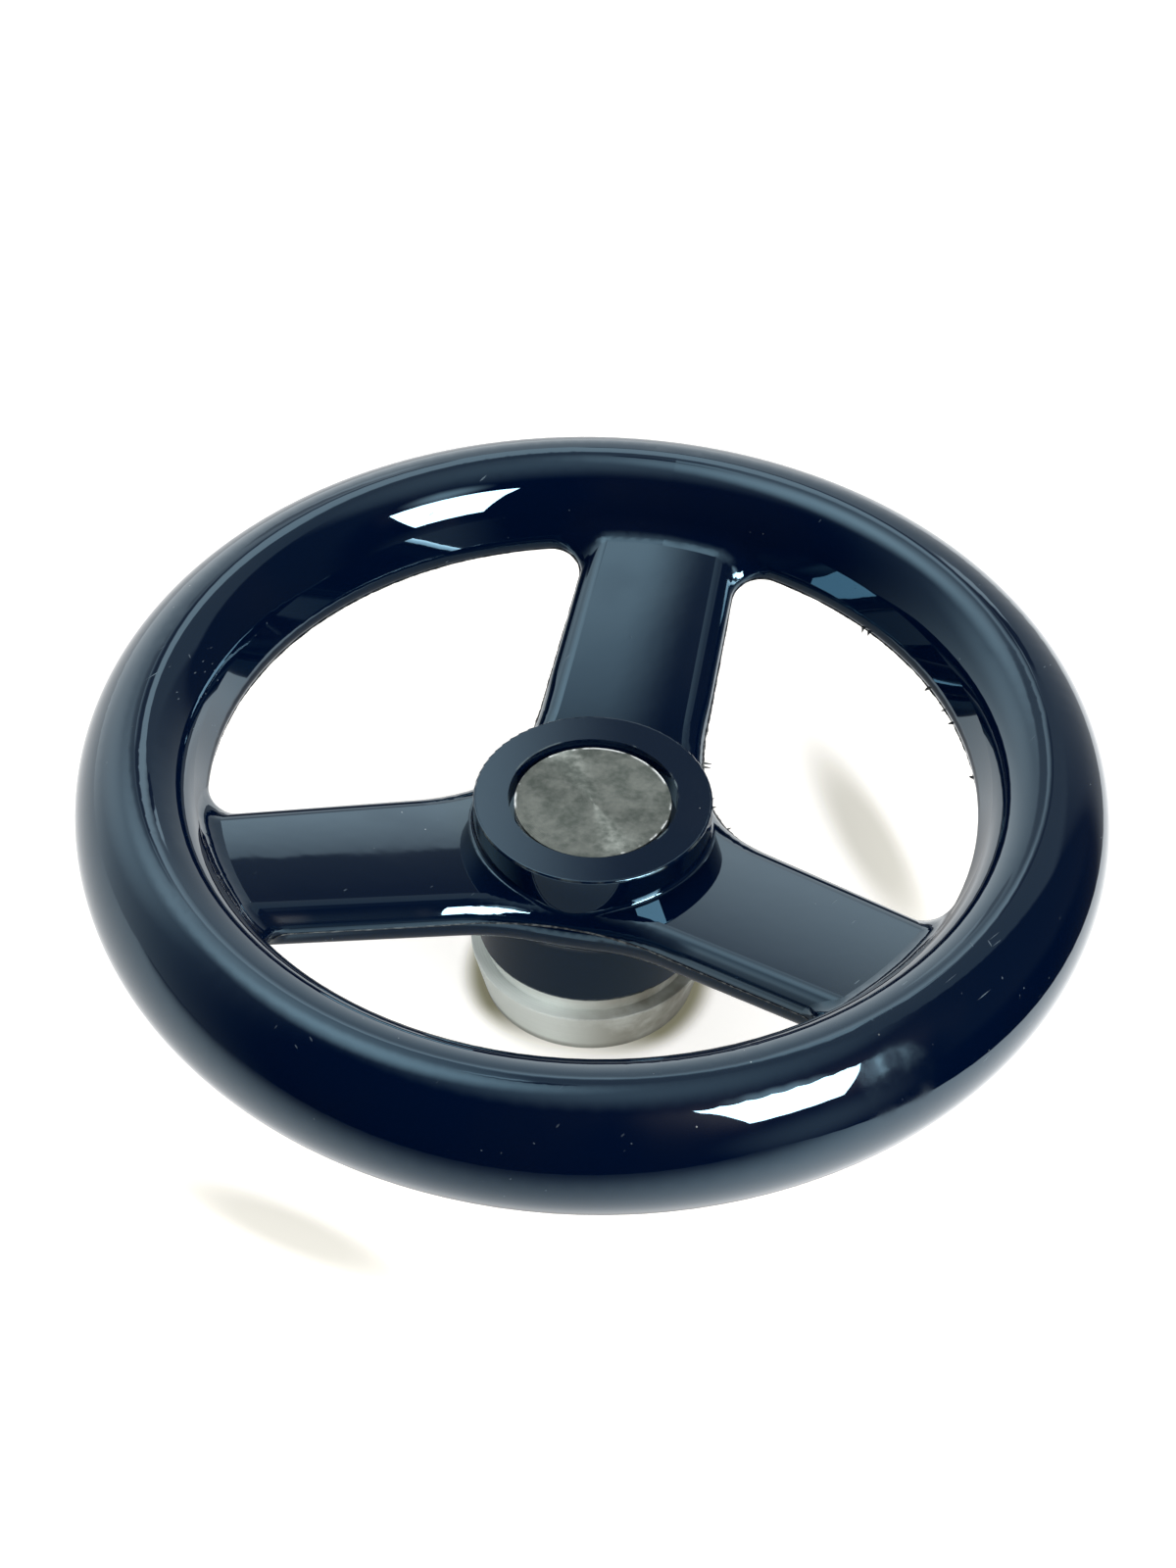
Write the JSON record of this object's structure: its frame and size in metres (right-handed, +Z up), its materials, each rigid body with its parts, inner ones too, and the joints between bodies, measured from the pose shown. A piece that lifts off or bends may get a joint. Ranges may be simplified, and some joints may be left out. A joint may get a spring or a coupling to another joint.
{
  "type": "machine handwheel",
  "caption": "Black moulded handwheel with a smooth round rim, flat dished arms and a turned steel hub insert whose flange is the mounting foot.",
  "frame": {"origin": "centre of the insert's flange foot, on the wheel's axis, where the part rests", "axes": "+Z up along the wheel's axis, away from the machine; +Y along one of the three arms"},
  "size_m": [0.2, 0.2, 0.0655],
  "materials": {
    "black_moulding": "glossy black phenolic moulding with a thin torn flash line round its windows",
    "plated_steel": "lathe-turned steel with a bright pale plating, its top end mottled grey"
  },
  "bodies": {
    "root": {"wheel_moulding": "black_moulding", "hub_insert": "plated_steel"}
  },
  "joints": []
}
